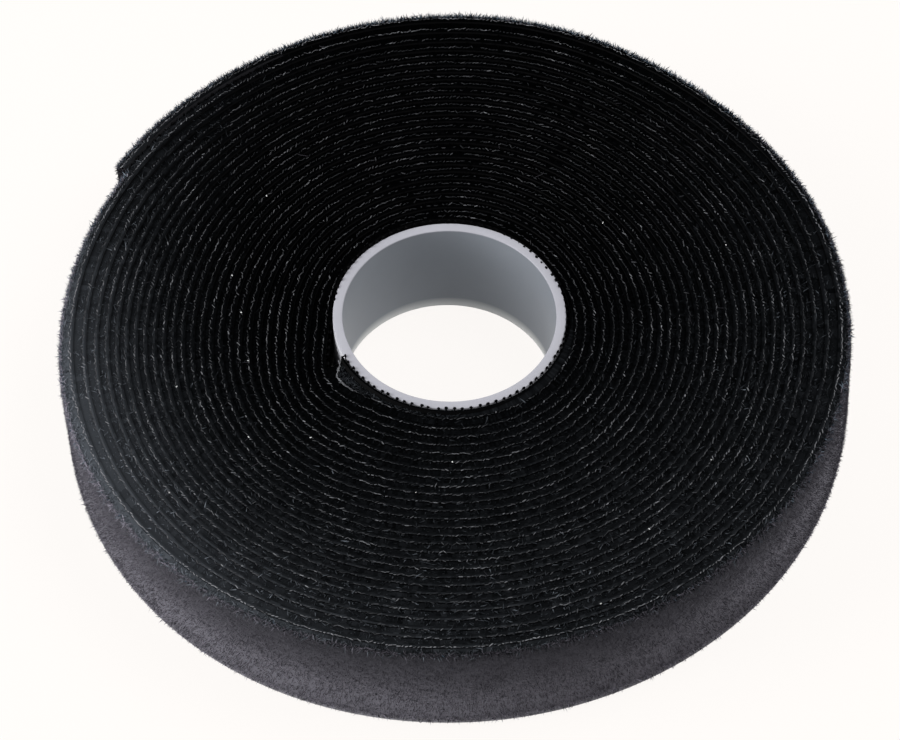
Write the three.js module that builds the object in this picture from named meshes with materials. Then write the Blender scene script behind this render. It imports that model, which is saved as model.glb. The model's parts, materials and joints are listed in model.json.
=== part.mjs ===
// A roll of hook and loop tape, wound on a plastic core ring and lying on its flat side.
// Millimetres, +Z up. The origin is on the core's axis, on the face that the roll lies on.
// The tape is two webs bonded back to back: the hooks face the core, the loops face outwards.

import * as THREE from 'three';

// Core ring: a short cut of plastic tube with softened edges
const CORE_OUTER_RADIUS = 23.3;
const CORE_WALL = 1.95;
const CORE_PROUD = 0.6; // how far the rim stands above the tape's top edge
const CORE_EDGE_RADIUS = 0.5;
const CORE_EDGE_STEPS = 2;
const CORE_SEGMENTS = 72;

// Tape: its width and the layers of one turn, from the core outwards
const TAPE_WIDTH = 25;
const HOOK_WEB_THICKNESS = 0.48;
const BOND_CLEARANCE = 0.3; // between the backs of the two webs
const LOOP_WEB_THICKNESS = 0.96;
const HOOK_HEIGHT = 0.54; // the hooks stand in this space and grip the pile of the turn below

// Winding: it starts on the core and climbs anticlockwise, seen from above
const WOUND_LOOPS = 23.84;
const INNER_END_BEARING = 207; // degrees from +X
const STEPS_PER_LOOP = 23;
const CORE_CLEARANCE = 0.3;
const STEP_UP_SHARE = 0.15; // share of a loop in which the tape climbs over its own inner end
const STEP_FADE_LOOPS = 24; // by here that step has faded into a steady spiral

// Tail: the free outer end, which peels off the roll about an upright line at its root
const TAIL_LENGTH = 45;
const TAIL_SEAM = 0.3;

// Points that the least gap between turns is measured on
const GAP_POINTS_PER_STEP = 4;

const STEP_ANGLE = (2 * Math.PI) / STEPS_PER_LOOP;
const HOOK_WEB_OUTSIDE = HOOK_WEB_THICKNESS;
const LOOP_WEB_INSIDE = HOOK_WEB_OUTSIDE + BOND_CLEARANCE;
const LOOP_WEB_OUTSIDE = LOOP_WEB_INSIDE + LOOP_WEB_THICKNESS;
const PITCH = LOOP_WEB_OUTSIDE + HOOK_HEIGHT;
const OUTER_RADIUS = CORE_OUTER_RADIUS + CORE_CLEARANCE + PITCH * WOUND_LOOPS + LOOP_WEB_OUTSIDE;

const TAPE_END_STEP = WOUND_LOOPS * STEPS_PER_LOOP;
const STEPS_PER_MILLIMETRE = 1 / (OUTER_RADIUS * STEP_ANGLE);
const TAIL_ROOT_STEP = TAPE_END_STEP - TAIL_LENGTH * STEPS_PER_MILLIMETRE;
const TAIL_START_STEP = TAIL_ROOT_STEP + TAIL_SEAM * STEPS_PER_MILLIMETRE;

// How many turns the tape has climbed at a wound angle, counted in loops. The inner turns lie flat
// and step up where they cross the tape's inner end; further out the step spreads round the roll.
function climbedTurns(loops) {
  const whole = Math.floor(loops);
  const part = loops - whole;
  const stepUp = THREE.MathUtils.smoothstep(part, 1 - STEP_UP_SHARE, 1);
  const fade = Math.min(1, loops / STEP_FADE_LOOPS);
  return whole + THREE.MathUtils.lerp(stepUp, part, fade);
}

// A corner of the faceted winding, depth millimetres outside the hook web's inner face. The middle
// of each facet lies at the true radius, so turns of any size nest with the same clearance.
function windingCorner(step, depth) {
  const radius = CORE_OUTER_RADIUS + CORE_CLEARANCE + PITCH * climbedTurns(step / STEPS_PER_LOOP) + depth;
  const bearing = THREE.MathUtils.degToRad(INNER_END_BEARING) + step * STEP_ANGLE;
  const reach = radius / Math.cos(STEP_ANGLE / 2);
  return new THREE.Vector2(reach * Math.cos(bearing), reach * Math.sin(bearing));
}

// A point of the winding at any step, on the straight facet between two corners
function windingPoint(step, depth) {
  const first = Math.floor(step);
  return windingCorner(first, depth).lerp(windingCorner(first + 1, depth), step - first);
}

// The line that one face of a web follows between two steps, seen from above
function windingLine(fromStep, toStep, depth) {
  const points = [windingPoint(fromStep, depth)];
  for (let step = Math.floor(fromStep) + 1; step < toStep; step += 1) {
    points.push(windingCorner(step, depth));
  }
  points.push(windingPoint(toStep, depth));
  return points;
}

// A web standing on its edge: the band between its two faces, drawn up by the tape's width
function webGeometry(fromStep, toStep, insideDepth, outsideDepth) {
  const inside = windingLine(fromStep, toStep, insideDepth);
  const outside = windingLine(fromStep, toStep, outsideDepth);
  const band = new THREE.Shape([...outside, ...inside.reverse()]);
  return new THREE.ExtrudeGeometry(band, { depth: TAPE_WIDTH, bevelEnabled: false });
}

// The core's wall section, turned about the axis
function coreGeometry() {
  const innerRadius = CORE_OUTER_RADIUS - CORE_WALL;
  const height = TAPE_WIDTH + CORE_PROUD;
  const round = Math.min(CORE_EDGE_RADIUS, CORE_WALL / 3);
  const corners = [
    { x: CORE_OUTER_RADIUS - round, y: round, from: -Math.PI / 2 },
    { x: CORE_OUTER_RADIUS - round, y: height - round, from: 0 },
    { x: innerRadius + round, y: height - round, from: Math.PI / 2 },
    { x: innerRadius + round, y: round, from: Math.PI },
  ];
  const section = corners.flatMap(({ x, y, from }) => {
    const arc = new THREE.EllipseCurve(x, y, round, round, from, from + Math.PI / 2);
    return arc.getPoints(CORE_EDGE_STEPS);
  });
  section.push(section[0].clone());
  return new THREE.LatheGeometry(section, CORE_SEGMENTS).rotateX(Math.PI / 2);
}

// The least distance between a web's outer face and its own inner face one turn further out
function leastGapToItself(fromStep, toStep, insideDepth, outsideDepth) {
  const spacing = 1 / GAP_POINTS_PER_STEP;
  let least = Infinity;
  for (let step = fromStep; step + STEPS_PER_LOOP <= toStep; step += spacing) {
    const below = windingPoint(step, outsideDepth);
    for (let shift = -1; shift <= 1; shift += spacing) {
      const aboveStep = Math.min(toStep, step + STEPS_PER_LOOP + shift);
      least = Math.min(least, below.distanceTo(windingPoint(aboveStep, insideDepth)));
    }
  }
  return least;
}

const plastic = { color: 0xb9b9c4, roughness: 0.45, metalness: 0 };
const hookBlack = { color: 0x0d0d10, roughness: 0.5, metalness: 0 };
const loopBlack = { color: 0x1b1a1f, roughness: 0.95, metalness: 0 };

const roll = new THREE.Group();

function addPiece(name, geometry, finish) {
  const piece = new THREE.Mesh(geometry, new THREE.MeshStandardMaterial(finish));
  piece.name = name;
  roll.add(piece);
}

addPiece('core_ring', coreGeometry(), plastic);
addPiece('hook_web', webGeometry(0, TAIL_ROOT_STEP, 0, HOOK_WEB_OUTSIDE), hookBlack);
addPiece('loop_web', webGeometry(0, TAIL_ROOT_STEP, LOOP_WEB_INSIDE, LOOP_WEB_OUTSIDE), loopBlack);
addPiece('hook_tail', webGeometry(TAIL_START_STEP, TAPE_END_STEP, 0, HOOK_WEB_OUTSIDE), hookBlack);
addPiece(
  'loop_tail',
  webGeometry(TAIL_START_STEP, TAPE_END_STEP, LOOP_WEB_INSIDE, LOOP_WEB_OUTSIDE),
  loopBlack,
);

const hookGap = leastGapToItself(0, TAPE_END_STEP, 0, HOOK_WEB_OUTSIDE);
const loopGap = leastGapToItself(0, TAPE_END_STEP, LOOP_WEB_INSIDE, LOOP_WEB_OUTSIDE);
const tailRoot = windingPoint(TAIL_ROOT_STEP, LOOP_WEB_OUTSIDE);
console.log(`least gap of the hook web to itself: ${hookGap.toFixed(2)} mm`);
console.log(`least gap of the loop web to itself: ${loopGap.toFixed(2)} mm`);
console.log(`the tail turns about x ${tailRoot.x.toFixed(3)}, y ${tailRoot.y.toFixed(3)} mm`);

export default roll;
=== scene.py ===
# %% [markdown]
# # A roll of hook and loop tape
#
# The real object is one long strip of tape, wound flat on a ring cut from a plastic tube. The strip is
# two webs bonded back to back: a moulded web with mushroom hooks on the side that faces the ring, and a
# knitted web with a soft pile of loops on the side that faces out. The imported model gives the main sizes
# and places, so this script only adds what the plain solids lack: all the turns, the hooks, the pile and
# the finishes.

# %% Load the frame
import json
import math
import random

import bmesh
import bpy
from mathutils import Matrix, Vector, noise
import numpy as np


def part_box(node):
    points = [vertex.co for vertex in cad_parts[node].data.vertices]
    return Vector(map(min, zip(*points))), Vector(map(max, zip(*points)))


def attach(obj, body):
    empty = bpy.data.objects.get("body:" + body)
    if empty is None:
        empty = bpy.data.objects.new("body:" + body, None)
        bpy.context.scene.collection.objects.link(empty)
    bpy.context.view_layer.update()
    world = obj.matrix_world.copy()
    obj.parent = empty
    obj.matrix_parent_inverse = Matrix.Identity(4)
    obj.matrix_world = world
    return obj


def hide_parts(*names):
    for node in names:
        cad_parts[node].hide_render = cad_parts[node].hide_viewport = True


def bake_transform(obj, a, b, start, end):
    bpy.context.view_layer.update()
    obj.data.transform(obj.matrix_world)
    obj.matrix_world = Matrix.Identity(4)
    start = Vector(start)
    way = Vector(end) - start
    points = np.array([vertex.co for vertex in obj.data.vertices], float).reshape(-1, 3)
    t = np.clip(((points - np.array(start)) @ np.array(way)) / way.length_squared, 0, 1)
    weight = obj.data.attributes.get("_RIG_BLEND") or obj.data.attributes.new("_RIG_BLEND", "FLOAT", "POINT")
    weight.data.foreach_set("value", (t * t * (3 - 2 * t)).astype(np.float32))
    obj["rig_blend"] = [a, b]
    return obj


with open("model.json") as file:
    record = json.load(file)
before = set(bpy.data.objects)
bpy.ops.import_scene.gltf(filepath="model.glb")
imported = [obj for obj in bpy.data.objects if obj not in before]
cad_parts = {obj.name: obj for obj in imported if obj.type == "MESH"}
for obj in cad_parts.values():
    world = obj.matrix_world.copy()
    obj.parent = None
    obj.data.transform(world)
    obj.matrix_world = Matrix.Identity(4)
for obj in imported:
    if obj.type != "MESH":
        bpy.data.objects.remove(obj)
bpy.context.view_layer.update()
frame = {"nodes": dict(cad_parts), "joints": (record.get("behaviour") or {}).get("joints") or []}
random.seed(7)
MM = 0.001
print("nodes:", sorted(frame["nodes"]))

# %% [markdown]
# ## The camera
#
# The photograph looks down on the roll from far away with a long lens. A camera that stands on a line
# from the ring's axis, at the fitted height and distance, gives the same ellipses. The picture's middle
# lies a little above the ring's foot, which a small lens shift gives without tilting the view.

# %% Camera
IMAGE_WIDTH = 900
VIEW_HEIGHT = math.radians(54.4)
VIEW_BEARING = math.radians(272.9)
VIEW_ROLL = math.radians(3.2)
VIEW_DISTANCE = 1000 * MM
FOCAL_PIXELS = 4905
FOOT_RIGHT_OF_MIDDLE = 3.7
FOOT_BELOW_MIDDLE = 21.5


def add_camera():
    """Puts the camera at the photograph's view and makes it the scene's camera."""
    data = bpy.data.cameras.new("photo_view")
    data.lens = data.sensor_width * FOCAL_PIXELS / IMAGE_WIDTH
    data.shift_x = -FOOT_RIGHT_OF_MIDDLE / IMAGE_WIDTH
    data.shift_y = FOOT_BELOW_MIDDLE / IMAGE_WIDTH
    camera = bpy.data.objects.new("photo_view", data)
    bpy.context.collection.objects.link(camera)
    flat = math.cos(VIEW_HEIGHT)
    back = Vector((flat * math.cos(VIEW_BEARING), flat * math.sin(VIEW_BEARING), math.sin(VIEW_HEIGHT)))
    turn = back.to_track_quat("Z", "Y").to_matrix().to_4x4()
    turn = turn @ Matrix.Rotation(-VIEW_ROLL, 4, "Z")
    camera.matrix_world = Matrix.Translation(back * VIEW_DISTANCE) @ turn
    bpy.context.scene.camera = camera
    return camera


camera = add_camera()
print("lens:", round(camera.data.lens, 1), "mm")

# %% [markdown]
# ## Sizes
#
# The ring, the width of the tape and the hinge of its free end come from the frame. The layers of the
# tape are thinner than the solids, because the real turns lie closer than solids may. The ring leans a
# little in the roll: it stands on its lowest point, with its left and its front raised.

# %% Sizes from the frame, and the layers of the tape
core_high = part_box("core_ring")[1]
web_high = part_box("loop_web")[1]
hinge = Vector(frame["joints"][0]["pos_m"])
ROLL_RADIUS = hinge.xy.length
CORE_RADIUS = core_high.x
TAPE_WIDTH = web_high.z
HOOK_HEIGHT = 0.55 * MM
HOOK_WEB = (0.0, 0.379 * MM)
LOOP_WEB = (0.38 * MM, 0.82 * MM)
PILE_HEIGHT = 1.45 * MM
TURNS = 27.84
INNER_END_DEGREES = 207
INNER_END = math.radians(INNER_END_DEGREES)
TIGHT_PITCH = 1.89 * MM
LOOSE_FROM = 23.0
RING_HEIGHT = core_high.z - 0.7 * MM
RING_LEAN = Matrix.Rotation(math.radians(-0.8), 3, "X") @ Matrix.Rotation(math.radians(2.4), 3, "Y")
RING_FOOT = Vector((-1.05, -0.05, 0)) * MM
RING_FOOT.z = CORE_RADIUS * RING_LEAN[2].xy.length
LEANING_TURNS = 6
print("roll radius:", round(ROLL_RADIUS / MM, 2), "mm, ring foot:", [round(v / MM, 2) for v in RING_FOOT])

# %% [markdown]
# ## The shape of the winding
#
# Every piece below follows one line, the path of the tape, so the path is a function and not a drawing.
# The tape starts on the ring and climbs by one thickness each turn. Near the ring each turn lies flat and
# steps up where it crosses the tape's own inner end. Further out that step spreads into a steady spiral,
# and the last turns are wound more loosely. Soft bulges bend all the turns alike: over the inner end,
# where the tape is slack in front of the ring, and at the back. On one side the turns are flattened. The
# first turns lean with the ring.


# %% Easing helpers
def bump(bearing, centre, spread):
    """A soft bulge of height 1 round a bearing, all in degrees."""
    apart = (bearing - centre + 180) % 360 - 180
    return math.exp(-((apart / spread) ** 2))


def smooth(x):
    """Eases from 0 to 1."""
    x = min(1.0, max(0.0, x))
    return x * x * (3 - 2 * x)


def ease(x, start, length):
    """Eases from 0 to 1 over a length from a start."""
    return smooth((x - start) / length)


def mix(a, b, share):
    """The value that lies this share of the way from a to b."""
    return a + (b - a) * share


print("halfway:", smooth(0.5), mix(0, 1, 0.5))

# %% Bulges of the turns
# Each has a height in mm, a bearing and a spread in degrees, all three at the ring and at the outside
OVER_END = ((2.1, 0.2), (214, 226), (17, 50))
SLACK = ((1.3, 1.0), (328, 325), (38, 38))
BELLY = ((0.6, 1.5), (290, 290), (45, 45))
BACK = ((0.5, 0.0), (95, 95), (30, 30))
FLAT = ((-0.5, -1.9), (33, 50), (27, 27))
BELLY_FADES = (0.9, 0.085)


def bearing_at(turns):
    """The bearing of a place on the tape, in degrees."""
    return math.degrees(INNER_END) + 360 * turns


def bulge(form, outwards, bearing):
    """How far one bulge lifts the tape; its values change evenly from the ring to the outside."""
    height, centre, spread = form
    return mix(*height, outwards) * bump(bearing, mix(*centre, outwards), mix(*spread, outwards))


print("over the inner end:", bulge(OVER_END, 0, 214), "mm at the ring")

# %% Radius of the turns
STEP_BEGINS = (180, 150)
STEP_ENDS = (212, 250)
LOOP_WEB_PARTS = (0.0, 0.02)
HOOK_WEB_PARTS = (0.35, 0.15)


def climbed(turns):
    """How many thicknesses the tape has climbed: in one stretch of each turn, over its inner end."""
    outwards = turns / TURNS
    begins, ends = mix(*STEP_BEGINS, outwards), mix(*STEP_ENDS, outwards)
    whole, part = divmod(turns + (INNER_END_DEGREES - ends) / 360, 1)
    share = (ends - begins) / 360
    return whole + smooth((part - 1 + share) / share)


def parted(turns, depth):
    """How far a web has left the ring: at once for the loop web, later for the hook web."""
    return ease(turns, *(LOOP_WEB_PARTS if depth >= LOOP_WEB[0] else HOOK_WEB_PARTS))


def even_radius(turns, depth=0.0):
    """The radius at a depth outside the hook web's face, before the last turns loosen."""
    outwards = turns / TURNS
    bearing = bearing_at(turns)
    over_end = bulge(OVER_END, outwards, bearing)
    slack = bulge(SLACK, outwards, bearing)
    belly = bulge(BELLY, outwards, bearing) * (1 - ease(outwards, *BELLY_FADES))
    standing = bulge(BACK, outwards, bearing) + bulge(FLAT, outwards, bearing)
    lift = (over_end + slack + belly) * parted(turns, depth) + standing
    return CORE_RADIUS + HOOK_HEIGHT + TIGHT_PITCH * climbed(turns) + lift * MM + depth


hinge_bearing = math.atan2(hinge.y, hinge.x)
TAIL_ROOT = math.floor(TURNS) + ((hinge_bearing - INNER_END) / (2 * math.pi)) % 1
slack_left = ROLL_RADIUS - PILE_HEIGHT - even_radius(TAIL_ROOT, LOOP_WEB[1])
LOOSENESS = slack_left / (TAIL_ROOT - LOOSE_FROM) ** 2
print("the tail starts after", round(TAIL_ROOT, 3), "turns")

# %% Places on the tape
FRAME_STEP = 0.001
SAMPLES_PER_TURN = 90


def winding_point(turns, depth, height):
    """A point of the tape: its turns from the inner end, its depth in the tape and its height."""
    radius = even_radius(turns, depth) + LOOSENESS * max(0.0, turns - LOOSE_FROM) ** 2
    bearing = INNER_END + 2 * math.pi * turns
    place = Vector((radius * math.cos(bearing), radius * math.sin(bearing), height))
    if turns < LEANING_TURNS:
        place.xy += (RING_FOOT + RING_LEAN.col[2] * height).xy * (1 - turns / LEANING_TURNS)
    return place


def winding_frame(turns, depth, height):
    """A place on the tape as a matrix: X along the tape, Y up its width and Z out of the roll."""
    place = winding_point(turns, depth, height)
    ahead, behind = (winding_point(turns + step, depth, height) for step in (FRAME_STEP, -FRAME_STEP))
    along = (ahead - behind).normalized()
    up = Vector((0, 0, 1))
    turn = Matrix((along, up, along.cross(up))).transposed()
    return Matrix.Translation(place) @ turn.to_4x4()


def walk(first, last, spacing):
    """Turns along the tape at an even spacing."""
    turns = first
    while turns < last:
        yield turns
        turns += spacing / (2 * math.pi * even_radius(turns, LOOP_WEB[1]))


samples = [winding_point(k / SAMPLES_PER_TURN, 0, 0) for k in range(int(TURNS * SAMPLES_PER_TURN) + 1)]
tape_length = sum((after - before).length for before, after in zip(samples, samples[1:]))
tail_length = (TURNS - TAIL_ROOT) * 2 * math.pi * ROLL_RADIUS
print("tape:", round(tape_length, 2), "m, tail:", round(tail_length / MM, 1), "mm")

# %% [markdown]
# ## Shader maths in Python
#
# A material's nodes are easier to read as sums. The class below wraps one socket: its operators add Math
# nodes, and its one method adds any other node, sets its options first and then its sockets.


# %% Shader helper
class Shade:
    """One output of a node tree, which Python's operators can work on."""

    def __init__(self, tree, socket=None):
        self.tree = tree
        self.socket = socket

    def node(self, kind, options=(), sockets=(), output=0):
        made = self.tree.nodes.new(kind)
        for name, value in dict(options).items():
            setattr(made, name, value)
        for name, value in dict(sockets).items():
            if isinstance(value, Shade):
                self.tree.links.new(value.socket, made.inputs[name])
            else:
                made.inputs[name].default_value = value
        return Shade(self.tree, made.outputs[output])

    def maths(self, operation, first, second):
        return self.node("ShaderNodeMath", {"operation": operation}, {0: first, 1: second})

    def __add__(self, other):
        return self.maths("ADD", self, other)

    def __sub__(self, other):
        return self.maths("SUBTRACT", self, other)

    def __rsub__(self, other):
        return self.maths("SUBTRACT", other, self)

    def __mul__(self, other):
        return self.maths("MULTIPLY", self, other)

    __radd__ = __add__
    __rmul__ = __mul__


# %% Finish helpers
def new_finish(name, **constants):
    """A material with its shader's even values set, the tree to build on and the shader itself."""
    material = bpy.data.materials.new(name)
    material.use_nodes = True
    shader = material.node_tree.nodes["Principled BSDF"]
    for socket, value in constants.items():
        shader.inputs[socket.replace("_", " ")].default_value = value
    return material, Shade(material.node_tree), shader


def object_place(tree):
    """The object's own coordinates."""
    return tree.node("ShaderNodeTexCoord", output="Object")


def grain(tree, scale, detail, roughness=0.6):
    """Noise over the object's own coordinates, in grains per metre."""
    sockets = {"Vector": object_place(tree), "Scale": scale, "Detail": detail, "Roughness": roughness}
    return tree.node("ShaderNodeTexNoise", {}, sockets)


def colour_mix(tree, share, first, second):
    """A colour between two colours, each an even colour or a varying one."""
    ends = [end if isinstance(end, Shade) else (*end, 1) for end in (first, second)]
    return tree.node("ShaderNodeMix", {"data_type": "RGBA"}, {0: share, 6: ends[0], 7: ends[1]}, output=2)


def link(tree, value, shader, socket):
    """Feeds one of the shader's varying sockets."""
    tree.tree.links.new(value.socket, shader.inputs[socket])


print("materials before the finishes:", len(bpy.data.materials))

# %% [markdown]
# ## Finishes
#
# The ring is a satin grey plastic with a slight lilac cast, clouded and finely scuffed. Its bore is darker
# and bluer than its cut edges, which is painted shade, and paler on the left and near the floor, which is
# painted light from the floor shining up into it; its outside is paler, which is painted light. The hook web
# is nearly black moulded plastic. The knitted web is black cloth whose fibres scatter a little light at
# grazing angles, which is sheen; on the wall it darkens upwards, which is painted shade, and is palest at
# the foot, which is painted light. The fibres and stitches are so thin that each has one even colour, and
# several shades of them are mixed.

# %% Plastic of the ring
# Painted light: the floor's glow on the lowest stretch of the bore, how high it reaches and its colour
FLOOR_GLOW_HEIGHT = 2.8 * MM
FLOOR_GLOW_WHITE = (0.95, 0.95, 0.93)


def ring_plastic(name, dark, pale, floor_glow=0.0, left=0.0):
    """Clouded plastic; the last two arguments are painted light: how much paler the lowest stretch and the
    left side are.
    """
    material, tree, shader = new_finish(name, IOR=1.47, Specular_IOR_Level=0.35)
    cloud = grain(tree, scale=60.0, detail=4.0)
    scuff = grain(tree, scale=1800.0, detail=2.0)
    relief = tree.node("ShaderNodeBump", {}, {"Strength": 0.12, "Distance": 0.05 * MM, "Height": scuff})
    place = object_place(tree)
    parts = [tree.node("ShaderNodeSeparateXYZ", {}, {"Vector": place}, output=axis) for axis in "XYZ"]
    height = sum(lean * part for lean, part in zip(RING_LEAN.col[2], parts)) - RING_FOOT.z
    # painted light from the floor, strongest at the foot of the bore
    low = tree.maths("MAXIMUM", 1 - height * (1 / FLOOR_GLOW_HEIGHT), 0.0)
    # painted light: the left side of the bore is paler
    colour = colour_mix(tree, cloud - parts[0] * (left / CORE_RADIUS), dark, pale)
    link(tree, colour_mix(tree, floor_glow * low, colour, FLOOR_GLOW_WHITE), shader, "Base Color")
    link(tree, 0.4 + 0.16 * cloud, shader, "Roughness")
    link(tree, relief, shader, "Normal")
    return material


# One plastic in three shades: the cut rim plain, the bore darker and bluer as painted shade, the outside
# paler as painted light
RING_CUT = ring_plastic("ring_cut", (0.31, 0.31, 0.345), (0.37, 0.37, 0.41))
RING_BORE_SHADED = ring_plastic("ring_bore_painted_shade", (0.165, 0.182, 0.208), (0.22, 0.24, 0.268), floor_glow=0.9, left=0.5)
RING_OUTSIDE_LIT = ring_plastic("ring_outside_painted_light", (0.5, 0.5, 0.54), (0.58, 0.58, 0.62))
print("ring finishes:", RING_CUT.name, RING_BORE_SHADED.name, RING_OUTSIDE_LIT.name)


# %% Plastic and cloth of the tape
def hook_plastic():
    """The streaky black plastic of the hook web, which shows on the inside of the peeled tail."""
    material, tree, shader = new_finish("hook_plastic", IOR=1.49, Specular_IOR_Level=0.06)
    streak = grain(tree, scale=900.0, detail=3.0)
    colour = colour_mix(tree, streak, (0.004, 0.004, 0.005), (0.012, 0.012, 0.014))
    link(tree, colour, shader, "Base Color")
    link(tree, 0.45 + 0.2 * streak, shader, "Roughness")
    return material


def loop_cloth_and_painted_shade():
    """The cloth under the wall's nap: patchy and finely knitted, with painted shade that darkens it upwards
    and painted light that makes it palest at the foot.
    """
    material, tree, shader = new_finish(
        "loop_cloth_and_painted_shade",
        Sheen_Weight=0.2,
        Sheen_Roughness=0.5,
        Sheen_Tint=(0.8, 0.78, 0.9, 1),
        Specular_IOR_Level=0.1,
    )
    knit = grain(tree, scale=1400.0, detail=2.0)
    patch = grain(tree, scale=130.0, detail=3.0)
    height = tree.node("ShaderNodeSeparateXYZ", {}, {"Vector": object_place(tree)}, output="Z")
    height = height * (1 / TAPE_WIDTH)
    relief = tree.node("ShaderNodeBump", {}, {"Strength": 0.8, "Distance": 0.3 * MM, "Height": knit})
    # painted shade: the cloth darkens upwards
    share = height + 0.5 * knit + 0.4 * patch - 0.45
    # painted light from the floor: the cloth is palest at the foot
    low = tree.maths("MAXIMUM", 1 - height * 12, 0.0)
    colour = colour_mix(tree, share, (0.066, 0.062, 0.075), (0.022, 0.022, 0.026))
    link(tree, colour_mix(tree, low, colour, (0.25, 0.25, 0.26)), shader, "Base Color")
    link(tree, 0.8 + 0.15 * knit, shader, "Roughness")
    link(tree, relief, shader, "Normal")
    return material


HOOK_PLASTIC = hook_plastic()
LOOP_CLOTH_AND_PAINTED_SHADE = loop_cloth_and_painted_shade()
print("tape finishes:", HOOK_PLASTIC.name, LOOP_CLOTH_AND_PAINTED_SHADE.name)


# %% Even shades of fibres, stitches and hooks
def even(name, colour, roughness=0.95, gloss=0.0):
    """A finish of one even shade, for what is too thin to show a pattern."""
    return new_finish(name, Base_Color=(*colour, 1), Roughness=roughness, Specular_IOR_Level=gloss)[0]


def shades(name, darkest, count, cast):
    """A row of even finishes, each 1.4 times as pale as the one before."""
    levels = [darkest * 2 ** (step / 2) for step in range(count)]
    return [even(f"{name}_{step}", [level * part for part in cast]) for step, level in enumerate(levels)]


def nearest(wanted, darkest, count):
    """The place in such a row of the shade that is nearest to a wanted one."""
    return min(count - 1, max(0, round(2 * math.log2(wanted / darkest))))


EDGE_BLACK = even("edge_black", (0.0007, 0.0007, 0.0008))
HOOK_BLACK = even("hook_black", (0.001, 0.001, 0.0012), roughness=0.6, gloss=0.03)
PILE_DARKEST = 0.015
PILE_SHADES = shades("pile", PILE_DARKEST, 9, (1.0, 0.95, 1.13))
# Two bluish shades: painted light of fibres lit from behind
PILE_SHADES += [even("pile_backlit_blue", (0.05, 0.067, 0.09)), even("pile_backlit_ice", (0.14, 0.17, 0.205))]
BACKLIT_BLUE, BACKLIT_ICE = 9, 10
DARKEST = 0.0005
TOP_SHADES = shades("top", DARKEST, 17, (0.9, 1.0, 1.15))
STITCH_SHADES = [
    even("stitch_dim", (0.02, 0.021, 0.023)),
    even("stitch_mid", (0.05, 0.051, 0.055)),
    even("stitch_pale", (0.11, 0.112, 0.12)),
    even("stitch_light", (0.17, 0.172, 0.185)),
]
LINT_WHITE = even("lint_white", (0.6, 0.6, 0.6))
print("finishes:", len(bpy.data.materials))

# %% [markdown]
# ## The ring
#
# A cut tube has a plain wall with its edges just broken. That is a turned shape: one closed section of
# the wall, its four corners bevelled, spun once round the axis. Only hooks hold it, so it sits a little
# askew in the roll: its left side stands proud and its right side lies level with the tape.


# %% Ring
def as_piece(bm, name, *materials):
    """Makes a finished bmesh an object at the origin."""
    mesh = bpy.data.meshes.new(name)
    bm.to_mesh(mesh)
    bm.free()
    for material in materials:
        mesh.materials.append(material)
    piece = bpy.data.objects.new(name, mesh)
    bpy.context.collection.objects.link(piece)
    return piece


RING_THICKNESS = 1.95 * MM
RING_EDGE = 0.22 * MM
RING_STEPS = 160


def ring_moulding():
    """The leaning ring: its cut edges take the plain plastic, its bore a darker copy with painted shade and
    its outside a paler copy with painted light.
    """
    bm = bmesh.new()
    bmesh.ops.create_grid(bm, x_segments=1, y_segments=1, size=0.5)
    bmesh.ops.scale(bm, verts=bm.verts, vec=(RING_THICKNESS, RING_HEIGHT, 1))
    bmesh.ops.rotate(bm, verts=bm.verts, cent=(0, 0, 0), matrix=Matrix.Rotation(math.pi / 2, 3, "X"))
    bmesh.ops.translate(bm, verts=bm.verts, vec=(CORE_RADIUS - RING_THICKNESS / 2, 0, 0))
    bmesh.ops.bevel(
        bm, geom=bm.verts[:], offset=RING_EDGE, segments=3, profile=0.5, affect="VERTICES", material=-1
    )
    bmesh.ops.delete(bm, geom=bm.faces[:], context="FACES_ONLY")
    bmesh.ops.spin(
        bm,
        geom=bm.verts[:] + bm.edges[:],
        cent=(0, 0, 0),
        axis=(0, 0, 1),
        angle=2 * math.pi,
        steps=RING_STEPS,
        use_merge=True,
    )
    bmesh.ops.recalc_face_normals(bm, faces=bm.faces)
    for face in bm.faces:
        face.smooth = True
        if abs(face.normal.z) < 0.1:
            face.material_index = 1 if face.normal.dot(face.calc_center_median()) < 0 else 2
    bmesh.ops.translate(bm, verts=bm.verts, vec=(0, 0, RING_HEIGHT / 2))
    bmesh.ops.rotate(bm, verts=bm.verts, cent=(0, 0, 0), matrix=RING_LEAN)
    bmesh.ops.translate(bm, verts=bm.verts, vec=RING_FOOT)
    return as_piece(bm, "ring_moulding", RING_CUT, RING_BORE_SHADED, RING_OUTSIDE_LIT)


ring = ring_moulding()
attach(ring, "roll")
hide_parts("core_ring")
print("ring faces:", len(ring.data.polygons))

# %% [markdown]
# ## Shades of the top face
#
# The top face is thousands of cut edges and fibres. Light and shade are painted into their shades: nearly
# black at the back, which is painted shade, greyer in front, and on the outer left painted light hangs in
# the fuzz like a veil. A pattern over such small shapes would have to be baked for each of them. Instead
# each edge face and each fibre picks one even shade by its place, a little at random.

# %% Shades of the top face
# Bearings and spreads, then strengths, of the light painted into the top face
LEFT_LIGHT = (200, 40)
FRONT_LIGHT = (285, 68)
RIGHT_LIGHT = (0, 38)
LEFT_LIGHT_LEVEL, FRONT_LIGHT_LEVEL, RIGHT_LIGHT_LEVEL = 0.082, 0.0106, 0.0044


def bearing_of(place):
    return math.degrees(math.atan2(place.y, place.x))


def veil(place):
    """How strongly the painted light of the left side hangs in the fuzz, from 0 to 1."""
    return bump(bearing_of(place), *LEFT_LIGHT) * (place.xy.length / ROLL_RADIUS) ** 7


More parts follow.
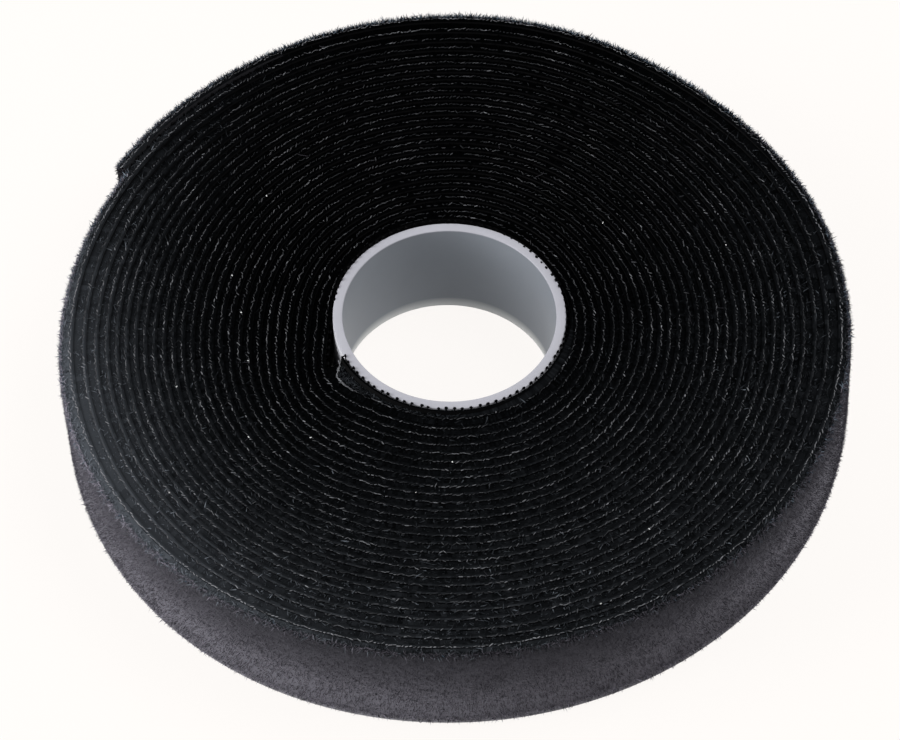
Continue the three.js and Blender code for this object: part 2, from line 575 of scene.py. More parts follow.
def top_painted_light(place):
    """The light painted into the fuzz on the top face: least at the back, which is painted shade, more in
    front, most at the outer left.
    """
    bearing = bearing_of(place)
    reach = place.xy.length / ROLL_RADIUS
    front = FRONT_LIGHT_LEVEL * reach**1.15 * bump(bearing, *FRONT_LIGHT)
    right = RIGHT_LIGHT_LEVEL * reach**3 * bump(bearing, *RIGHT_LIGHT)
    return front + right + LEFT_LIGHT_LEVEL * veil(place)


def top_shade(place, strength, spread):
    """Picks one of the shades of the top face, a little at random."""
    wanted = (DARKEST + top_painted_light(place) * strength) * random.lognormvariate(0, spread)
    return nearest(wanted, DARKEST, len(TOP_SHADES))


print("greyness at the outer left:", round(top_painted_light(Vector((-ROLL_RADIUS, 0, 0))), 4))

# %% [markdown]
# ## The tape
#
# Each web is a band standing on its edge. A vertex is extruded along the winding, the line it leaves is
# extruded across the web's thickness, and that strip is extruded up by the tape's width. Each vertex
# carries its place on the tape, which the extruded copies inherit. Extruding hands its parts back in no
# fixed order, so they are sorted along the tape before random numbers are drawn for them.

# %% A band along the winding
STEPS_PER_TURN = 432
EDGE_SPREAD = 0.3


def band(name, first, last, depths, foot, crest, finish, strength):
    """A closed band between two turns; its upper edge takes the shades of the top face."""
    bm = bmesh.new()
    bm.verts.layers.float.new("place")
    bm.verts.layers.float.new("side")
    place, side = (bm.verts.layers.float[layer] for layer in ("place", "side"))
    count = max(2, math.ceil((last - first) * STEPS_PER_TURN))
    tip = bm.verts.new(winding_point(first, depths(first)[0], foot))
    tip[place] = first
    for step in range(1, count + 1):
        tip = bmesh.ops.extrude_vert_indiv(bm, verts=[tip])["verts"][0]
        tip[place] = mix(first, last, step / count)
        tip.co = winding_point(tip[place], depths(tip[place])[0], foot)
    for part in bmesh.ops.extrude_edge_only(bm, edges=bm.edges[:])["geom"]:
        if isinstance(part, bmesh.types.BMVert):
            part[side] = 1
            part.co = winding_point(part[place], depths(part[place])[1], foot)
    raised = bmesh.ops.extrude_face_region(bm, geom=bm.faces[:])["geom"]
    tops = [part for part in raised if isinstance(part, bmesh.types.BMVert)]
    for vert in sorted(tops, key=lambda vert: (vert[place], vert[side])):
        height = crest(vert[place], vert[side])
        vert.co = winding_point(vert[place], depths(vert[place])[round(vert[side])], height)
    bmesh.ops.recalc_face_normals(bm, faces=bm.faces)
    for face in sorted(bm.faces, key=lambda face: min(vert[place] for vert in face.verts)):
        edge = face.normal.z > 0.3
        face.smooth = not edge
        if edge:
            # the edge face's shade carries the top face's painted light and shade
            middle = face.calc_center_median()
            spread = EDGE_SPREAD * (1 - 0.85 * min(1.0, 2 * veil(middle)))
            face.material_index = 1 + top_shade(middle, strength, spread)
    for layer in ("side", "place"):
        bm.verts.layers.float.remove(bm.verts.layers.float[layer])
    return as_piece(bm, name, finish, *TOP_SHADES)


print("steps along the tape:", round(TURNS * STEPS_PER_TURN))

# %% [markdown]
# The layers and the heights of the bands are functions of the place on the tape. The pile fills each gap
# up to the next turn, and stands free on the last turn. The first turn clings to the ring with its hooks
# and follows the leaning rim. The pressed pile lies a little lower than the edges of the webs and is
# slightly uneven.

# %% Layers of the tape
WALL_FIRST = TURNS - 1.08
PADDING = (0.3 * MM, LOOP_WEB[0])
FELT_BITE = 0.05 * MM
LEAST_FELT = 0.2 * MM
NAP_ROOT = 0.3 * MM
# The pile is fuller round three bearings: by how many mm, round which bearing and how far to its sides
FULLER_PILE = ((0.75, 195, 36), (0.25, 265, 60), (0.2, 355, 40))


def even_layer(depths):
    """A layer that has the same depths all along the tape."""
    return lambda turns: depths


def free_pile(turns):
    """How far the pile stands out where no turn lies on it; it is fullest on the left."""
    bearing = bearing_at(turns)
    return PILE_HEIGHT + sum(more * bump(bearing, *spot) for more, *spot in FULLER_PILE) * MM


def felt(turns):
    """The depths between which the pile lies: up to the next turn, or free on the last one."""
    if turns > TURNS - 1:
        return LOOP_WEB[1], LOOP_WEB[1] + free_pile(turns) - NAP_ROOT
    gap = (winding_point(turns + 1, 0, TAPE_WIDTH) - winding_point(turns, LOOP_WEB[1], TAPE_WIDTH)).length
    bite = FELT_BITE if turns < WALL_FIRST else -FELT_BITE
    return LOOP_WEB[1], LOOP_WEB[1] + max(LEAST_FELT, gap + bite)


print("free pile:", [round(free_pile(TURNS - part) / MM, 2) for part in (0.75, 0.5, 0.25, 0)], "mm")

# %% Heights of the tape
FIRST_TURN_RISE = 0.75 * MM
RISE_ENDS = (0.75, 0.35)
CLING_ENDS = (0.84, 0.2)
PAST_RIM = 0.3
LOW_BACK = (50, 40)


def rise(turns):
    """How far the first turn stands above the other edges."""
    return FIRST_TURN_RISE * (1 - ease(turns, *RISE_ENDS))


def hook_rise(turns):
    """How far the hook web's first turn stands up: just past the rim of the leaning ring."""
    foot = winding_point(turns, 0, 0)
    rim = RING_FOOT + RING_LEAN @ Vector((*foot.xy, RING_HEIGHT))
    past = (PAST_RIM - 0.4 * bump(bearing_of(foot), *LOW_BACK)) * MM
    return max(0.0, rim.z + past - TAPE_WIDTH) * (1 - ease(turns, *CLING_ENDS))


def web_crest(turns, side):
    return TAPE_WIDTH + rise(turns)


def hook_crest(turns, side):
    return TAPE_WIDTH + hook_rise(turns)


def felt_crest(turns, side):
    flush = 1 - 0.6 * bump(bearing_at(turns), *LEFT_LIGHT) * turns / TURNS
    drop = mix(0.3, 0.6, side) * flush + random.uniform(-0.06, 0.06)
    return TAPE_WIDTH + rise(turns) - drop * MM


def mat_crest(turns, side):
    return TAPE_WIDTH - mix(0.25, 1.0, side) * MM


print("the hook web's first turn stands up by", [round(hook_rise(k / 4) / MM, 2) for k in range(5)], "mm")

# %% [markdown]
# The bands themselves: both webs, the padding that parts them at the inner end, the pressed pile that
# hides the floor between the turns, and the mat under the nap of the outer wall. The last stretch of the
# tape is a set of bands of its own, because it peels off.

# %% Webs and pressed pile
FELT_FOOT = 0.6 * MM
MAT_FOOT = 0.2 * MM
hook_tape = band("hook_tape", 0, TAIL_ROOT, even_layer(HOOK_WEB), 0, hook_crest, HOOK_BLACK, 0.45)
loop_tape = band("loop_tape", 0, TAIL_ROOT, even_layer(LOOP_WEB), 0, web_crest, EDGE_BLACK, 0.85)
end_padding = band("end_padding", 0, 0.5, even_layer(PADDING), FELT_FOOT, felt_crest, EDGE_BLACK, 2.0)
pressed_pile = band("pressed_pile", 0, WALL_FIRST, felt, FELT_FOOT, felt_crest, EDGE_BLACK, 0.5)
pile_mat = band("pile_mat", WALL_FIRST, TAIL_ROOT, felt, MAT_FOOT, mat_crest, LOOP_CLOTH_AND_PAINTED_SHADE, 1.0)
tail = (TAIL_ROOT, TURNS)
hook_tail = band("hook_tape_tail", *tail, even_layer(HOOK_WEB), 0, web_crest, HOOK_PLASTIC, 0.7)
loop_tail = band("loop_tape_tail", *tail, even_layer(LOOP_WEB), 0, web_crest, EDGE_BLACK, 1.0)
tail_mat = band("tail_mat", *tail, felt, MAT_FOOT, mat_crest, LOOP_CLOTH_AND_PAINTED_SHADE, 1.0)
for piece, node, slot in (
    (hook_tape, "hook_web", "hook_black"),
    (loop_tape, "loop_web", "loop_black"),
    (hook_tail, "hook_tail", "hook_black"),
    (loop_tail, "loop_tail", "loop_black"),
):
    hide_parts(node)
    reach = [v.co.xy.length for v in piece.data.vertices]
    print(piece.name, "radius from", round(min(reach) / MM, 2), "to", round(max(reach) / MM, 2), "mm")
for piece in (hook_tape, loop_tape, pressed_pile, pile_mat, end_padding):
    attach(piece, "roll")

# %% [markdown]
# ## Small repeated shapes
#
# Hooks, stitches and fibres number in the thousands, so each starts as one small shape of a few dozen
# faces. The copies are gathered in one mesh per kind: a mesh is copied, moved to its place and added to a
# bmesh. A seeded random generator turns and sizes them, so every run gives the same roll.

# %% Shapes of a hook and a stitch
STEM_FOOT, STEM_TOP = 0.15 * MM, 0.1 * MM
HEAD_RADIUS = 0.36 * MM


def as_shape(bm, name):
    """Keeps a small bmesh as a mesh to copy."""
    mesh = bpy.data.meshes.new(name)
    bm.to_mesh(mesh)
    bm.free()
    return mesh


def hook_shape():
    """A mushroom hook: a tapered stem with a flat round head, standing along Z."""
    bm = bmesh.new()
    stem = bmesh.ops.create_cone(
        bm, cap_ends=True, segments=3, radius1=STEM_FOOT, radius2=STEM_TOP, depth=HOOK_HEIGHT * 0.75
    )["verts"]
    bmesh.ops.translate(bm, verts=stem, vec=(0, 0, HOOK_HEIGHT * 0.375))
    head = bmesh.ops.create_uvsphere(bm, u_segments=5, v_segments=3, radius=HEAD_RADIUS)["verts"]
    bmesh.ops.scale(bm, verts=head, vec=(1, 1, 0.55))
    bmesh.ops.translate(bm, verts=head, vec=(0, 0, HOOK_HEIGHT * 0.8))
    return as_shape(bm, "hook_shape")


def stitch_shape():
    """A short spindle of yarn lying along X."""
    bm = bmesh.new()
    bmesh.ops.create_uvsphere(bm, u_segments=4, v_segments=3, radius=1)
    bmesh.ops.rotate(bm, verts=bm.verts, cent=(0, 0, 0), matrix=Matrix.Rotation(math.pi / 2, 3, "Y"))
    return as_shape(bm, "stitch_shape")


HOOK = hook_shape()
STITCH = stitch_shape()
print("faces of a hook and a stitch:", len(HOOK.polygons), len(STITCH.polygons))

# %% Shapes of fibres and loops
FIBRE_LEAN = 5  # in widths of the fibre
THREAD_RADIUS = 0.05  # in heights of the loop


def spike_shape():
    """A straight fibre, one unit long and wide, drawn to a point."""
    bm = bmesh.new()
    bmesh.ops.create_cone(bm, cap_ends=True, segments=3, radius1=0.5, radius2=0, depth=1)
    bmesh.ops.translate(bm, verts=bm.verts, vec=(0, 0, 0.5))
    return as_shape(bm, "spike_shape")


def fibre_shape(bend):
    """A fibre that rises along Z and leans over, one unit long and wide, drawn to a point."""
    bm = bmesh.new()
    bmesh.ops.create_circle(bm, cap_ends=True, segments=3, radius=0.5)
    tip = bm.faces[:][0]
    for joint in range(2):
        below = tip
        grown = bmesh.ops.extrude_face_region(bm, geom=[below])["geom"]
        tip = next(part for part in grown if isinstance(part, bmesh.types.BMFace))
        lean = bend * (joint + 0.5)
        step = (FIBRE_LEAN * math.sin(lean), 0, 0.5 * math.cos(lean))
        bmesh.ops.translate(bm, verts=tip.verts, vec=step)
        if joint > 0:
            bmesh.ops.delete(bm, geom=[below], context="FACES_ONLY")
    bmesh.ops.pointmerge(bm, verts=tip.verts[:], merge_co=tip.calc_center_median())
    bmesh.ops.recalc_face_normals(bm, faces=bm.faces)
    return as_shape(bm, "fibre_shape")


def loop_shape():
    """A loop of yarn one unit high: a thin three-sided thread spun a little more than half round."""
    bm = bmesh.new()
    bmesh.ops.create_circle(bm, cap_ends=True, segments=3, radius=THREAD_RADIUS)
    bmesh.ops.spin(
        bm, geom=bm.faces[:], cent=(0.5, 0, 0), axis=(0, 1, 0), angle=math.radians(200), steps=5
    )
    bmesh.ops.translate(bm, verts=bm.verts, vec=(-0.5, 0, 0))
    bmesh.ops.scale(bm, verts=bm.verts, vec=(1, 1, 2))
    bmesh.ops.recalc_face_normals(bm, faces=bm.faces)
    return as_shape(bm, "loop_shape")


SPIKE = spike_shape()
FIBRE = fibre_shape(0.6)
THREAD = fibre_shape(0.95)
LOOP = loop_shape()
print("faces of fibres and loops:", [len(shape.polygons) for shape in (SPIKE, FIBRE, THREAD, LOOP)])

# %% Heap of copies
ANY_TURN = 6.3  # just over a full turn, in radians


class Heap:
    """Collects copies of small shapes, of several shades, into one piece that stays above the floor."""

    def __init__(self):
        self.bm = bmesh.new()

    def add(self, shape, place, shade=0):
        copy = shape.copy()
        copy.transform(place)
        copy.polygons.foreach_set("material_index", [shade] * len(copy.polygons))
        self.bm.from_mesh(copy)
        bpy.data.meshes.remove(copy)

    def piece(self, name, *materials):
        for vert in self.bm.verts:
            vert.co.z = max(0.0, vert.co.z)
        return as_piece(self.bm, name, *materials)


def any_turn():
    """A random direction, in radians."""
    return random.uniform(0, ANY_TURN)


def spin_size(about, width, length):
    """Turns a shape about Z and sizes it across and along Z."""
    return Matrix.Rotation(about, 4, "Z") @ Matrix.Diagonal((width, width, length, 1))


print("a sized fibre:", [round(v, 2) for v in spin_size(0, 0.1, 0.6).to_scale()], "mm")

# %% [markdown]
# ## Hooks
#
# The hooks stand on the inner face of the tape in a square grid. Between the turns only those along the
# two edges can be seen, so the turns get one row near the upper edge, and the outer turns one at the
# foot. The first turn gets three rows of slightly larger hooks, which show as dots over the ring's rim.
# The tail gets the whole grid, because its inner face shows when it is peeled back.

# %% Hooks of the turns
HOOK_SPACING = 1.83 * MM
HOOK_ROWS = 14
HOOK_JITTER = 0.14
HOOK_WANDER = 0.15
FOOT_HOOKS_FROM = 22
EDGE_ROW_DROP = 0.5 * MM
RING_ROW_LIFT = 0.5 * MM
RING_HOOK_SIZE = 1.2
INWARD = Matrix.Rotation(math.pi, 4, "X")


def hook_row(heap, first, last, height, size=1.0):
    """One row of hooks along the tape, each a little off its place in the grid."""
    for turns in walk(first, last, HOOK_SPACING):
        jitter = random.uniform(-HOOK_JITTER, HOOK_JITTER)
        turns += jitter * HOOK_SPACING / (2 * math.pi * even_radius(turns))
        wander = random.uniform(-HOOK_WANDER, HOOK_WANDER) * MM
        spot = winding_frame(turns, 0, height + hook_rise(turns) + wander)
        turn = Matrix.Rotation(any_turn(), 4, "Z") @ Matrix.Scale(size * random.uniform(0.9, 1.1), 4)
        heap.add(HOOK, spot @ INWARD @ turn)


margin = (TAPE_WIDTH - HOOK_SPACING * (HOOK_ROWS - 1)) / 2
rows = [margin + HOOK_SPACING * row for row in range(HOOK_ROWS)]
for name, first, height, ring_rows in (
    ("top_hooks", 1, rows[-1] - EDGE_ROW_DROP, rows[-3:]),
    ("foot_hooks", FOOT_HOOKS_FROM, rows[0], rows[:1]),
):
    heap = Heap()
    hook_row(heap, first, TAIL_ROOT, height)
    for row in ring_rows:
        hook_row(heap, 0, 1, row + RING_ROW_LIFT, RING_HOOK_SIZE)
    hooks = heap.piece(name, HOOK_BLACK)
    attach(hooks, "roll")
    print(name, "faces:", len(hooks.data.polygons))

# %% Hooks of the tail
TAIL_MARGIN = 0.001
heap = Heap()
for height in rows:
    hook_row(heap, TAIL_ROOT + TAIL_MARGIN, TURNS - TAIL_MARGIN, height)
tail_hooks = heap.piece("tail_hooks", HOOK_BLACK)
print("tail hooks faces:", len(tail_hooks.data.polygons))

# %% [markdown]
# ## Stitches along the slit edges
#
# Where the tape was slit to width, the cut yarns of the knitted web show as a thin broken line of pale
# strokes, each a little askew to the edge. They lie along both edges of every turn. Noise decides which
# stretches are pale and which are nearly lost, because the slitting knife crosses the knit unevenly. The
# outermost line and the inner end are the palest. The lines at the back are the dimmest, which is painted
# shade, and on the left the painted light of the veil makes them paler.

# %% Stitches
STITCH_DEPTH = LOOP_WEB[1] - 0.08 * MM
STITCH_THICKNESS = 0.1 * MM
TOP_STITCHES = (0.75 * MM, TAPE_WIDTH)
FOOT_STITCHES = (2.0 * MM, 0.12 * MM)
END_STITCH_SPACING = 0.25 * MM
END_STITCHES_OVER = 0.05
OUTERMOST = (TURNS - 1.3, 0.2)
OUTERMOST_LIFT = 0.12 * MM
PALE_END = (0.0, 0.06)
LOST = -1.0
PALER_FROM = (-0.05, 0.5, 1.1)
DIM_BACK = (65, 85)


def stitch_line(heap, first, last, spacing, height):
    """A broken line of stitches along one edge of the tape."""
    for turns in walk(first, last, spacing):
        top = rise(turns) if height > 1 * MM else 0
        outermost = ease(turns, *OUTERMOST)
        top += OUTERMOST_LIFT * outermost
        spot = winding_frame(turns, STITCH_DEPTH + random.gauss(0, 0.1) * MM, height + top)
        bearing = bearing_of(spot.translation)
        pale = noise.noise(spot.translation * 160) + random.gauss(0, 0.35)
        pale += 0.04 + 0.9 * outermost
        # painted shade dims the lines at the back; painted light of the left veil makes them paler
        pale -= 0.48 * bump(bearing, *DIM_BACK) + 0.12 * bump(bearing, *LEFT_LIGHT)
        pale += veil(spot.translation) + 1.5 * (1 - ease(turns, *PALE_END))
        if pale < LOST:
            continue
        shade = sum(pale > limit for limit in PALER_FROM)
        askew = Matrix.Rotation(math.radians(random.gauss(10, 20)), 4, "Y")
        length, width = random.uniform(0.22, 0.6) * MM, random.uniform(0.06, 0.14) * MM
        heap.add(STITCH, spot @ askew @ Matrix.Diagonal((length, STITCH_THICKNESS, width, 1)), shade)


stitches = []
for name, first, last, (spacing, height) in (
    ("top_stitches", 0, TAIL_ROOT, TOP_STITCHES),
    ("foot_stitches", 0, TAIL_ROOT, FOOT_STITCHES),
    ("tail_top_stitches", TAIL_ROOT, TURNS, TOP_STITCHES),
    ("tail_foot_stitches", TAIL_ROOT, TURNS, FOOT_STITCHES),
):
    heap = Heap()
    stitch_line(heap, first, last, spacing, height)
    if name == "top_stitches":
        stitch_line(heap, 0, END_STITCHES_OVER, END_STITCH_SPACING, height)
    piece = heap.piece(name, *STITCH_SHADES)
    stitches.append(piece)
    print(name, "faces:", len(piece.data.polygons))
for piece in stitches[:2]:
    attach(piece, "roll")

# %% [markdown]
# ## Pile
#
# The loops of the knitted web make a soft nap. On the outside of the roll it covers the wall and roughens
# every outline, so there each loop and fibre is a shape of its own, over a cloth that is already grained.
# The wall's fibres carry painted shade and painted light: a little darker upwards, paler at the foot and on
# the left, and often bluish at the top of the back, where they are lit from behind.

# %% Nap of the wall
PILE_PER_SQUARE_MM = 5.0
FIBRE_WIDTH = 0.1 * MM
TUFT_WIDTH = 0.16 * MM
NAP_SINK = 0.05 * MM
LOOP_SHARE = 0.05
# Bearings and spreads of the painted light on the left of the wall and of the painted backlight at the back
LEFT_WALL_LIGHT = (198, 38)
BACKLIT_BACK = (75, 70)


def fuzz(heap, spot, width, length, shade):
    """One fibre of the fuzz, straight or bent."""
    shape = random.choice((SPIKE, SPIKE, FIBRE))
    heap.add(shape, spot @ spin_size(any_turn(), width, length), shade)


def nap_shade(bearing, share):
    """A shade for a fibre of the wall at a bearing, this share of the way up, with painted light and shade.
    """
    # painted light: fibres on the left are paler
    left = bump(bearing, *LEFT_WALL_LIGHT) * mix(0.4, 2.2, share)
    # painted shade darker upwards, and painted light from the floor at the foot
    wanted = mix(0.051, 0.045, share) * (1 + left + 0.8 * smooth(1 - 7 * share))
    shade = nearest(wanted * random.lognormvariate(0, 0.2), PILE_DARKEST, BACKLIT_BLUE)
    # painted backlight: some fibres at the top of the back take the bluish shade
    blue = random.random() < smooth(5 * share - 4) * bump(bearing, *BACKLIT_BACK)
    return BACKLIT_BLUE if blue else shade


def nap(heap, first, last):
    """Loops and fibres all over the outer face between two turns."""
    area = (last - first) * 2 * math.pi * ROLL_RADIUS * TAPE_WIDTH
    for _ in range(int(area / MM**2 * PILE_PER_SQUARE_MM)):
        share = random.random()
        turns = random.uniform(first, last)
        height = mix(3 * MAT_FOOT, mat_crest(turns, 1), share)
        spot = winding_frame(turns, felt(turns)[1] - NAP_SINK, height)
        shade = nap_shade(bearing_of(spot.translation), share)
        about = Matrix.Rotation(random.uniform(0, 2 * math.pi), 4, "Z")
        if random.random() < LOOP_SHARE:
            lean = Matrix.Rotation(random.gauss(0, 0.6), 4, "X")
            size = random.uniform(0.35, 0.7) * MM
            heap.add(LOOP, spot @ about @ lean @ Matrix.Scale(size, 4), shade)
        else:
            lean = Matrix.Rotation(random.uniform(0, 0.5), 4, "X")
            length = random.triangular(0.35, 0.9, 0.55) * MM
            fuzz(heap, spot @ about @ lean, FIBRE_WIDTH, length, shade)


print("nap:", PILE_PER_SQUARE_MM, "fibres per square mm")

# %% [markdown]
# Between the turns only a thin fringe at the two edges can be seen. It is denser towards the outside,
# where the turns lie more loosely. Finer fibres stand out of the free pile along the two edges of the
# wall and blur the outline, and some more fluff sticks out of the two cut ends of the tape.

# %% Fringes along the edges
FRINGE_STRENGTH = 2.1
# Bearings and spreads: the front rim is darkest, the back rim takes painted backlight, the left rim painted
# light
FRONT_RIM = (275, 72)
BACKLIT_RIM = (85, 85)
LEFT_RIM_LIGHT = (198, 42)


def fringe(heap, first, last, spacing, height, up):
    """Fibres along one edge of the tape, rooted on the web or on the pressed pile beside it."""
    for turns in walk(first, last, spacing):
        near, far = felt(turns)
        beside = random.uniform(0.25 if turns > TURNS - 1 else 0, 1)
        drop = (0.3 + 0.8 * beside + random.uniform(0, 0.4)) * MM
        edge = height + rise(turns) if up > 0 else height
        lean = Matrix.Rotation(-up * random.uniform(0.2, 2.0), 4, "X")
        spot = winding_frame(turns, mix(near, far, beside), edge - up * drop) @ lean
        width = random.uniform(0.7, 2) * TUFT_WIDTH
        length = random.uniform(0.5, 1.2) * MM
        # the fibre's shade carries the top face's painted light and shade
        spread = mix(0.75, 0.4, smooth(3 * veil(spot.translation)))
        fuzz(heap, spot, width, length, top_shade(spot.translation, FRINGE_STRENGTH, spread))


def rim_shade(place, upper, behind):
    """A shade for a fibre of the rim: painted light makes it pale at the foot and on the left, it is darkest
    in front, and at the back it is often a bluish painted backlight.
    """
    front = bump(bearing_of(place), *FRONT_RIM)
    left = bump(bearing_of(place), *LEFT_RIM_LIGHT)
    # painted light: paler at the foot and on the left
    wanted = mix(0.26, mix(0.085, 0.045, front), upper) * (1 + 2.2 * left * upper)
    shade = nearest(wanted * random.lognormvariate(0, 0.35), PILE_DARKEST, BACKLIT_BLUE)
    # painted backlight: fibres lit from behind take the bluish shades
    return random.choice((BACKLIT_BLUE, BACKLIT_BLUE, BACKLIT_ICE)) if random.random() < 0.8 * behind else shade


def rim_fringe(heap, first, last, spacing, height, reach, lean):
    """Fine fibres along the upper or lower edge of the free pile, which blur the outline."""
    for turns in walk(first, last, spacing):
        far = felt(turns)[1] - random.uniform(0.05, 0.5) * MM
        spot = winding_frame(turns, far, height + random.triangular(-0.7, reach, 0) * MM)
        upper = smooth(spot.translation.z / TAPE_WIDTH)
        # how far the fibre takes the painted backlight of the back rim
        behind = upper * bump(bearing_of(spot.translation), *BACKLIT_RIM)
        shade = rim_shade(spot.translation, upper, behind)
        spot = spot @ Matrix.Rotation(-abs(random.gauss(*lean)), 4, "X")
        spot = spot @ Matrix.Rotation(random.gauss(0, 0.5), 4, "Y")
        width = random.choice((FIBRE_WIDTH, TUFT_WIDTH, 2.5 * FIBRE_WIDTH))
        fuzz(heap, spot, width, random.triangular(0.5, 1.7, 0.9) * mix(0.6, 1, behind) * MM, shade)


print("fringe: tufts up to", round(2 * TUFT_WIDTH / MM, 2), "mm wide")

# %% Fluff at the cut ends
OUTER_END_FIBRES = 700
INNER_END_FIBRES = 1200
OUTER_END_SHADES = (0, 4)
INNER_END_SHADES = (9, 15)
END_MARGIN = 0.6 * MM


def end_fringe(heap, count):
    """Fibres that stick out of the cut outer end of the tape."""
    for _ in range(count):
        depth = random.uniform(LOOP_WEB[0], felt(TURNS)[1])
        spot = winding_frame(TURNS, depth, random.uniform(END_MARGIN, TAPE_WIDTH - END_MARGIN))
        spot = spot @ Matrix.Rotation(random.gauss(1.4, 0.4), 4, "Y")
        spot = spot @ Matrix.Rotation(random.gauss(0, 0.3), 4, "X")
        fuzz(heap, spot, TUFT_WIDTH, random.uniform(0.4, 1.1) * MM, random.randrange(*OUTER_END_SHADES))


def end_tuft(heap, count):
    """The fluff of the tape's inner end, between its two parted webs."""
    for _ in range(count):
        turns = random.triangular(0.0, 0.2, 0.02)
        near, far = (winding_point(turns, depth, 0).length for depth in (HOOK_WEB[1], LOOP_WEB[0]))
        spot = winding_frame(turns, HOOK_WEB[1], TAPE_WIDTH + rise(turns) - random.uniform(0.2, 0.9) * MM)
        spot = spot @ Matrix.Translation((0, 0, (far - near) * random.random()))
        lean = Matrix.Rotation(-random.gauss(1.4, 0.5), 4, "X")
        lean = lean @ Matrix.Rotation(random.gauss(0, 0.6), 4, "Y")
        shade = random.randrange(*INNER_END_SHADES)
        fuzz(heap, spot @ lean, TUFT_WIDTH, random.uniform(0.4, 0.9) * MM, shade)


print("fibres at the inner and outer end:", INNER_END_FIBRES, OUTER_END_FIBRES)

# %% Pieces of the pile on the roll
PILE_PIECES = 6
UPPER_RIM = (0.035 * MM, TAPE_WIDTH - 0.9 * MM, 0.5, (0.5, 0.45))
LOWER_RIM = (0.045 * MM, MAT_FOOT + 1.0 * MM, 1.5, (0.1, 0.2))
pile = [pressed_pile, end_padding, pile_mat]
for part in range(PILE_PIECES):
    heap = Heap()
    first, last = (mix(WALL_FIRST, TAIL_ROOT, (part + k) / PILE_PIECES) for k in (0, 1))
    nap(heap, first, last)
    pile.append(heap.piece(f"pile_{part + 1}", *PILE_SHADES))
for name, first, last, spacing, height, up in (
    ("top_fringe_inner", 0, 14, 0.17 * MM, TAPE_WIDTH, 1),
    ("top_fringe_outer", 14, 22, 0.12 * MM, TAPE_WIDTH, 1),
    ("top_fringe_loose", 22, TURNS - 1, 0.09 * MM, TAPE_WIDTH, 1),
    ("top_fringe_last", TURNS - 1, TAIL_ROOT, 0.05 * MM, TAPE_WIDTH, 1),
    ("foot_fringe", 0, TAIL_ROOT, 1.2 * MM, 0.8 * MM, -0.3),
):
    heap = Heap()
    fringe(heap, first, last, spacing, height, up)
    if name == "top_fringe_inner":
        end_tuft(heap, INNER_END_FIBRES)
    pile.append(heap.piece(name, *TOP_SHADES))
for name, rim in (("upper_rim_fringe", UPPER_RIM), ("lower_rim_fringe", LOWER_RIM)):
    heap = Heap()
    rim_fringe(heap, TURNS - 1, TAIL_ROOT, *rim)
    pile.append(heap.piece(name, *PILE_SHADES))
for piece in pile[3:]:
    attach(piece, "roll")
print("pile faces:", [len(piece.data.polygons) for piece in pile])

# %% Pieces of the pile on the tail
heap = Heap()
nap(heap, TAIL_ROOT, TURNS)
rim_fringe(heap, TAIL_ROOT, TURNS, *UPPER_RIM)
rim_fringe(heap, TAIL_ROOT, TURNS, *LOWER_RIM)
end_fringe(heap, OUTER_END_FIBRES)
tail_pile = heap.piece("tail_pile", *PILE_SHADES)
heap = Heap()
fringe(heap, TAIL_ROOT, TURNS, 0.05 * MM, TAPE_WIDTH, 1)
tail_fringe = heap.piece("tail_fringe", *TOP_SHADES)
for piece in (tail_pile, tail_fringe):
    print(piece.name, "faces:", len(piece.data.polygons))

# %% [markdown]
# ## Lint and loose threads
#
# Such cloth always holds some lint: a few white specks on the top face, and pale threads that have come
# out of the knit and lie on the roll. They are few, and each lies on what carries it.

# %% Lint and threads
SPECKS = 15
TOP_THREADS = 26
WALL_THREADS = 24
SPECK_WIDTH = 0.14 * MM
THREAD_WIDTH = 0.07 * MM
lint = Heap()
for _ in range(SPECKS):
    spot = winding_frame(random.uniform(4, TURNS - 1), STITCH_DEPTH, TAPE_WIDTH)
    size = Matrix.Diagonal((random.uniform(0.12, 0.3) * MM, SPECK_WIDTH, SPECK_WIDTH, 1))
    lint.add(STITCH, spot @ Matrix.Rotation(random.uniform(0, 3), 4, "Y") @ size)
for _ in range(TOP_THREADS):
    turns = random.uniform(8, TURNS - 0.6)
    spot = winding_frame(turns, STITCH_DEPTH, TAPE_WIDTH) @ Matrix.Rotation(any_turn(), 4, "Y")
    lint.add(THREAD, spot @ spin_size(any_turn(), THREAD_WIDTH, random.uniform(2, 5) * MM), 1)
for _ in range(WALL_THREADS):
    turns = random.uniform(TURNS - 1, TAIL_ROOT)
    spot = winding_frame(turns, felt(turns)[1] + 0.25 * MM, random.uniform(4, 20) * MM)
    flat = Matrix.Rotation(any_turn(), 4, "Z") @ Matrix.Rotation(math.pi / 2, 4, "X")
    lint.add(THREAD, spot @ flat @ spin_size(any_turn(), THREAD_WIDTH, random.uniform(2, 4) * MM), 1)
lint_piece = lint.piece("lint", LINT_WHITE, PILE_SHADES[3])
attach(lint_piece, "roll")
print("lint faces:", len(lint_piece.data.polygons))

# %% [markdown]
# ## The tail's bend
#
# The free end peels off about an upright line at its root. Cloth has no hinge there: it bends over a
# short stretch. Every piece of the tail therefore blends from the roll to the tail, starting at that
# line.

# %% Tail
BEND_LENGTH = 16 * MM
root = winding_frame(TAIL_ROOT, LOOP_WEB[1], hinge.z)
for piece in (hook_tail, loop_tail, tail_mat, tail_hooks, *stitches[2:], tail_pile, tail_fringe):
    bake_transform(piece, "roll", "tail", start=root.translation, end=root @ Vector((BEND_LENGTH, 0, 0)))
tape_length - tail_length
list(stitches[:2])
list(stitches[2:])
print("the tail bends at", [round(v / MM, 1) for v in root.translation], "mm")

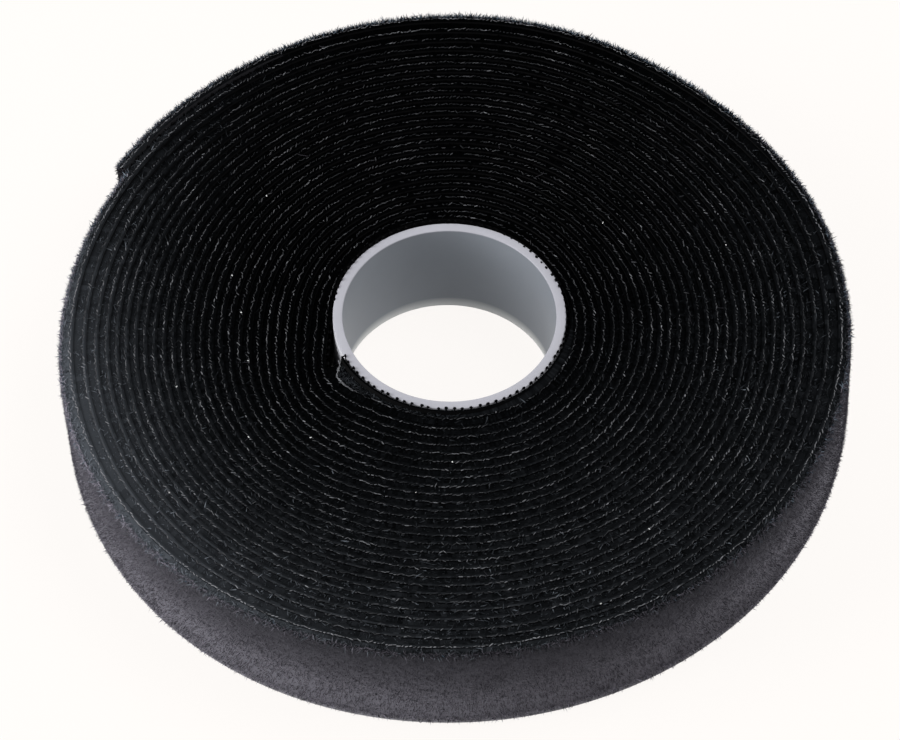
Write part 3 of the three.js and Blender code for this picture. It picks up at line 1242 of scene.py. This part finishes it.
# %% [markdown]
# ## Stage and light
#
# The floor is white to the camera and still takes a soft shadow, by mixing a plain matt floor with a
# white that only camera, gloss and see-through rays meet. Two large soft lamps stand high on the left and
# on the right. A low one at the front left lights the wall, which is also painted paler there, another low
# one behind the roll catches the fringe of its far rim, whose bluish shades are painted backlight, and an
# even white world fills the rest.

# %% Floor
FLOOR_WHITE = (1.0, 0.97, 0.945, 1)
FLOOR_WHITE_SHARE = 0.94
FLOOR_DROP = 0.02 * MM


def add_floor():
    """A large floor, just under the roll."""
    bm = bmesh.new()
    bmesh.ops.create_grid(bm, x_segments=1, y_segments=1, size=3)
    bmesh.ops.translate(bm, verts=bm.verts, vec=(0, 0, -FLOOR_DROP))
    material, tree, shader = new_finish("floor_white", Base_Color=(0.86, 0.85, 0.84, 1), Roughness=0.9)
    rays = tree.node("ShaderNodeLightPath", output="Is Camera Ray")
    for other in ("Is Glossy Ray", "Is Transmission Ray"):
        rays = tree.maths("MAXIMUM", rays, tree.node("ShaderNodeLightPath", output=other))
    white = tree.node("ShaderNodeEmission", {}, {"Color": FLOOR_WHITE, "Strength": 1.0})
    output = next(n for n in material.node_tree.nodes if n.type == "OUTPUT_MATERIAL")
    matt = Shade(material.node_tree, shader.outputs[0])
    both = tree.node("ShaderNodeMixShader", {}, {0: rays * FLOOR_WHITE_SHARE, 1: matt, 2: white})
    material.node_tree.links.new(both.socket, output.inputs["Surface"])
    return as_piece(bm, "floor", material)


floor = add_floor()
print("floor:", [round(side, 1) for side in floor.dimensions], "m")

# %% Lamps and world
WORLD_STRENGTH = 0.3


def add_lamp(name, place, aim, size, power):
    """A square soft lamp that the camera doesn't see; its size is in metres and its power in watts."""
    data = bpy.data.lights.new(name, "AREA")
    data.size = size
    data.energy = power
    lamp = bpy.data.objects.new(name, data)
    turn = (Vector(place) - Vector(aim)).to_track_quat("Z", "Y").to_matrix().to_4x4()
    lamp.matrix_world = Matrix.Translation(place) @ turn
    lamp.visible_camera = False
    bpy.context.collection.objects.link(lamp)


def add_world():
    """An even white world."""
    world = bpy.data.worlds.new("even_white")
    world.use_nodes = True
    background = world.node_tree.nodes["Background"]
    background.inputs["Color"].default_value = (1, 1, 1, 1)
    background.inputs["Strength"].default_value = WORLD_STRENGTH
    bpy.context.scene.world = world


add_world()
add_lamp("left_box", place=(-0.72, -0.12, 0.5), aim=(0, 0, 0), size=0.6, power=7.5)
add_lamp("right_box", place=(0.45, 0.05, 0.8), aim=(0, 0, 0), size=0.6, power=6.2)
add_lamp("low_left", place=(-0.8, -0.35, 0.12), aim=(0, 0, 0.02), size=0.25, power=2.6)
add_lamp("low_back", place=(0.15, 0.8, 0.1), aim=(0, 0.08, 0.02), size=0.3, power=2.5)
bpy.context.scene.view_settings.view_transform = "Standard"
print("lamps:", [lamp.name for lamp in bpy.data.lights])
